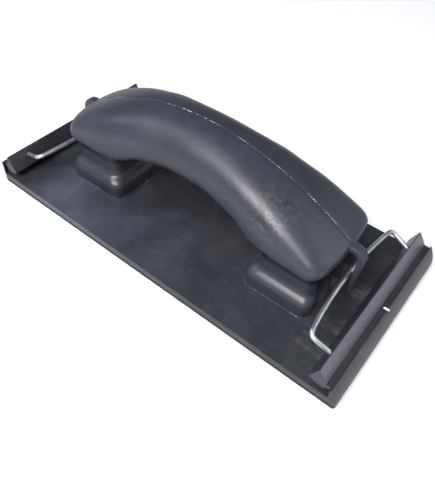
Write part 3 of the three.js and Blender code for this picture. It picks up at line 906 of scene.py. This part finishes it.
def moulded_plastic(
    name, deep, light, roughness, scuffing, dusting,
    worn_and_highlit=(), dusty=(), painted_sheen=(), end_rub_and_light=0, painted_shade=None, ior=1.49,
):
    """Satin black polypropylene: cloudy tone, fine spark-eroded grain, scuffs and grey sanding dust.
    Worn places are polished and flecked, and lightened as a painted highlight over the real wear; dusty
    ones are smeared with pale dust; sheen places carry a dull bluish painted reflection; the end rub is how
    pale the faces that look out of the block's ends are made, partly real rubbing and partly painted light;
    and painted shade sets in between the two heights given and covers all above them."""
    finish = Finish(name, IOR=ior)
    clouds = finish.noise(26, 4, 0.6)
    mottle = finish.noise(170, 3, 0.55)
    grain = finish.noise(2300, 2, 0.6)
    marks = all_scratches(finish) * scuffing
    dust = dust_cover(finish, mottle, dusting, dusty)
    colour = finish.blend(finish.window(clouds * 0.7 + mottle * 0.3, 0.36, 0.66), deep, light)
    colour = finish.blend(marks, colour, SCUFF_TONE)
    # painted reflection: a lighter bluish sheen at the places given
    colour = painted_sheen_over(finish, colour, clouds, painted_sheen)
    # faces that look out of the block's ends are lightened: partly real rubbing, partly painted light
    if end_rub_and_light:
        end_rub_light = finish.outward() * (finish.window(finish.noise(900, 4, 0.7), 0.35, 0.65) * 0.5 + 0.55)
        colour = finish.blend(end_rub_light * end_rub_and_light, colour, END_RUB_AND_LIGHT_TONE)
    colour = finish.blend(dust, colour, DUST_TONE)
    # painted shade on the top of each foot under the grip's rim, from the first height up
    if painted_shade:
        height = finish.share("ShaderNodeSeparateXYZ", {}, {0: finish.place}, "Z")
        colour = finish.blend(finish.window(height, painted_shade[0] * MM, painted_shade[1] * MM), colour, PAINTED_SHADE_TONE)
    polish = 0
    # worn places are polished as real wear, and lightened as a painted highlight
    for middle, radius, strength in worn_and_highlit:
        flecks = finish.window(finish.noise(420, 4, 0.75), 0.5, 0.64)
        worn_highlight = finish.around(middle, radius) * flecks * strength
        colour = finish.blend(worn_highlight * 0.5, colour, WORN_HIGHLIGHT_TONE)
        polish = worn_highlight * 0.25 + polish
    finish.connect(
        Base_Color=colour,
        Roughness=roughness + clouds * 0.1 + marks * 0.22 + dust * 0.5 + mottle * 0.05 - 0.07 - polish,
    )
    finish.bump(grain * 0.6 + mottle * 0.5 - marks * 0.5, 0.35, 0.00008)
    return finish.material


def sole_rubber():
    """Dense black cellular rubber with a cut, slightly open edge."""
    finish = Finish("sole_rubber", IOR=1.45)
    cells = finish.noise(1700, 3, 0.6)
    clouds = finish.noise(90, 3, 0.5)
    shade = finish.window(cells * 0.5 + clouds * 0.5, 0.35, 0.7)
    colour = finish.blend(shade, tone(20, 20, 21), tone(48, 48, 49))
    finish.connect(Base_Color=colour, Roughness=0.72 + clouds * 0.2)
    finish.bump(cells, 0.6, 0.0002)
    return finish.material


def galvanised_wire():
    """Bright drawn wire with fine drawing lines and dull patches of zinc."""
    finish = Finish("galvanised_wire")
    patches = finish.noise(210, 4, 0.6)
    lines = finish.noise(1, 2, 0.5, finish.stretched((2600, 120, 2600)))
    colour = finish.blend(finish.window(patches, 0.4, 0.66), tone(170, 172, 176), tone(208, 210, 213))
    finish.connect(
        Base_Color=colour,
        Metallic=finish.window(patches, 0.2, 0.5) * 0.25 + 0.7,
        Roughness=0.26 + patches * 0.16 + lines * 0.06,
    )
    finish.bump(lines * 0.6 + patches * 0.4, 0.25, 0.00004)
    return finish.material


def zinc_screw():
    """Zinc-plated steel, a little yellowed."""
    finish = Finish("zinc_screw", Metallic=1)
    patches = finish.noise(600, 3, 0.6)
    colour = finish.blend(finish.window(patches, 0.38, 0.65), tone(176, 172, 160), tone(214, 214, 212))
    finish.connect(Base_Color=colour, Roughness=0.24 + patches * 0.2)
    finish.bump(patches, 0.2, 0.00004)
    return finish.material


def stressed_flash(name, pale, rarity=0.42):
    """Thin moulding flash: dark where it lies flat, whitened where it has been bent and torn."""
    finish = Finish(name, IOR=1.49)
    lengths = finish.window(finish.noise(70, 2, 0.5), rarity, rarity + 0.14)
    torn = finish.window(finish.noise(620, 3, 0.7), 0.5, 0.6) * lengths
    finish.connect(
        Base_Color=finish.blend(torn, tone(48, 50, 56), pale),
        Roughness=0.42 + torn * 0.35,
    )
    finish.bump(torn, 0.3, 0.0001)
    return finish.material


# ---------------------------------------------------------------- making the block

# Each mark is its middle and radius in millimetres, and its strength.
# The grip's worn patches are real polish and also a painted highlight: they are lightened where the key
# light's highlight falls on the near shoulder.
GRIP_WEAR_AND_HIGHLIGHT = (((51, -20, 54), 17, 0.6), ((28, -18, 59), 14, 0.2))
PLATE_DUST = (((97, -31, 6), 20, 0.26), ((94, 4, 6), 12, 0.2), ((101, 34, 6), 14, 0.1))
# Lighter bluish patches on the plate's left are a painted reflection.
PLATE_PAINTED_SHEEN = (((-64, -46, 6), 34, 0.32), ((-20, -44, 6), 40, 0.14))

grip_plastic = moulded_plastic(
    "grip_plastic", tone(37, 39, 46), tone(47, 49, 59), 0.41, 0.06, 0.03, worn_and_highlit=GRIP_WEAR_AND_HIGHLIGHT,
)
plate_plastic = moulded_plastic(
    "plate_plastic", tone(33, 35, 39), tone(42, 45, 51), 0.42, 0.1, 0.05,
    dusty=PLATE_DUST, painted_sheen=PLATE_PAINTED_SHEEN, ior=1.4,
)
foot_plastic = moulded_plastic(
    "foot_plastic", tone(36, 38, 43), tone(46, 48, 55), 0.36, 0.06, 0.04, painted_shade=FOOT_PAINTED_SHADE_HEIGHTS,
)
# The jaw's faces that look out of the block's ends are lightened, partly as real rubbing and partly as
# painted light.
jaw_plastic = moulded_plastic(
    "jaw_plastic", tone(32, 33, 38), tone(42, 43, 50), 0.42, 0.12, 0.08, end_rub_and_light=0.5,
)
# The web's near-black tone is painted shade: the narrow groove it lines lies in the jaw's shadow.
web_shade_plastic = moulded_plastic("web_shade_plastic", tone(14, 15, 16), tone(22, 23, 25), 0.6, 0.05, 0.04)
pale_sliver_plastic = moulded_plastic("pale_sliver_plastic", tone(206, 206, 204), tone(226, 226, 224), 0.4, 0.1, 0.05)
seam_plastic = stressed_flash("flash_plastic", tone(200, 202, 206))
foot_flash_plastic = stressed_flash("foot_flash_plastic", tone(150, 152, 156), 0.5)
wire_finish = galvanised_wire()
screw_finish = zinc_screw()


def fit_web(end):
    """Makes the web between the end wall and the jaw; it rides on no body."""
    web = make_web(end)
    fit(web, web_shade_plastic, None, [])
    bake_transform(web)


fit(make_sole(), sole_rubber(), "block", ["sole_pad"])
fit(make_plate(), plate_plastic, "block", ["base_plate"])
fit(make_wall_pale_sliver(SIDES["right"]), pale_sliver_plastic, "block", [])
fit(make_grip_half("grip_shell_near", -1), grip_plastic, "block", ["grip_half_near"])
fit(make_grip_half("grip_shell_far", 1), grip_plastic, "block", ["grip_half_far"])
fit(make_seam_flash(), seam_plastic, "block", [])

for end in SIDES:
    fit(make_foot(end), foot_plastic, "block", [f"foot_{end}"])
    fit(make_foot_flash(end), foot_flash_plastic, "block", [])
    fit(make_hook(end), grip_plastic, "block", [f"bail_hook_{end}"])
    fit(make_jaw(end), jaw_plastic, f"clamp_{end}", [f"clamp_jaw_{end}"])
    fit(make_bail(end), wire_finish, f"clamp_{end}", [f"wire_bail_{end}"])
    fit_web(end)
    for index in (1, 2):
        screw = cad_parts[f"grip_screw_{end}_{index}"]
        screw.data.materials.clear()
        screw.data.materials.append(screw_finish)

# ---------------------------------------------------------------- floor, light and camera


# The floor and the lights are placed in metres, the camera in millimetres like the block.
FLOOR_SIZE = 8
FLOOR_DROP = 0.0003

SKY_STRENGTH = (0.52, 0.12)        # on the bright side and the dim one
DIM_SIDE = (-0.8, 0.5, 0.3)        # direction of the dim side: the far left
SKY_COLOUR = (0.86, 0.91, 1, 1)

SOFTBOXES = (                      # name, place, target, size, power, colour
    ("key", (0.03, -0.85, 1.02), (0.03, 0, 0.03), (0.8, 0.55), 27, (1, 0.99, 1)),
    ("overhead", (-0.45, -0.3, 1.15), (0, 0, 0.03), (0.6, 0.6), 2.4, (0.86, 0.91, 1)),
    ("right_back", (0.95, 0.45, 0.85), (0.05, 0, 0.03), (0.7, 0.6), 3.6, (0.9, 0.94, 1)),
    ("left", (-1.15, -0.3, 0.95), (-0.05, 0, 0.05), (0.45, 0.4), 4, (0.84, 0.88, 1)),
)

CAMERA_TARGET = Vector((27.943, -26.793, 20.286))
CAMERA_DISTANCE = 259.459
CAMERA_TURN = radians(34.593)
CAMERA_RISE = radians(49.1935)
CAMERA_ROLL = radians(4.7565)
CAMERA_LENS = 37.764
CAMERA_SENSOR = 36


def make_floor():
    clear_selection()
    bpy.ops.mesh.primitive_plane_add(size=FLOOR_SIZE, location=(0, 0, -FLOOR_DROP))
    floor = new_piece("floor")
    paper = Finish("floor_paper", Roughness=0.9)
    tint = paper.noise(3, 2, 0.5)
    paper.connect(Base_Color=paper.blend(tint, tone(226, 226, 227), tone(231, 231, 231)))
    floor.data.materials.append(paper.material)


def softbox(name, place, target, size, power, colour):
    light = bpy.data.lights.new(name, "AREA")
    light.shape = "RECTANGLE"
    light.size, light.size_y = size
    light.energy = power
    light.color = colour
    lamp = bpy.data.objects.new(name, light)
    bpy.context.scene.collection.objects.link(lamp)
    lamp.location = place
    away = Vector(place) - Vector(target)
    lamp.rotation_euler = away.to_track_quat("Z", "Y").to_euler()


def make_surroundings():
    """Soft light from all round, weaker from the far left."""
    world = bpy.context.scene.world or bpy.data.worlds.new("studio")
    bpy.context.scene.world = world
    world.use_nodes = True
    nodes, links = world.node_tree.nodes, world.node_tree.links
    place = nodes.new("ShaderNodeTexCoord")
    towards = nodes.new("ShaderNodeVectorMath")
    towards.operation = "DOT_PRODUCT"
    towards.inputs[1].default_value = Vector(DIM_SIDE).normalized()
    fall = nodes.new("ShaderNodeMapRange")
    fall.inputs["From Min"].default_value = -0.2
    fall.inputs["From Max"].default_value = 0.8
    fall.inputs["To Min"].default_value, fall.inputs["To Max"].default_value = SKY_STRENGTH
    links.new(place.outputs["Generated"], towards.inputs[0])
    links.new(towards.outputs["Value"], fall.inputs["Value"])
    links.new(fall.outputs[0], nodes["Background"].inputs["Strength"])
    nodes["Background"].inputs["Color"].default_value = SKY_COLOUR


def make_camera():
    back = Vector((
        sin(CAMERA_TURN) * cos(CAMERA_RISE), -cos(CAMERA_TURN) * cos(CAMERA_RISE), sin(CAMERA_RISE),
    ))
    level = (-back).cross(Vector((0, 0, 1))).normalized()
    upright = level.cross(-back)
    right = cos(CAMERA_ROLL) * level + sin(CAMERA_ROLL) * upright
    up = cos(CAMERA_ROLL) * upright - sin(CAMERA_ROLL) * level
    data = bpy.data.cameras.new("camera")
    data.lens = CAMERA_LENS
    data.sensor_width = CAMERA_SENSOR
    data.clip_start = 0.01
    camera = bpy.data.objects.new("camera", data)
    bpy.context.scene.collection.objects.link(camera)
    place = (CAMERA_TARGET + back * CAMERA_DISTANCE) * MM
    camera.matrix_world = Matrix.Translation(place) @ Matrix((right, up, back)).transposed().to_4x4()
    bpy.context.scene.camera = camera


make_floor()
make_surroundings()
for box in SOFTBOXES:
    softbox(*box)
make_camera()
bpy.context.scene.view_settings.view_transform = "Standard"
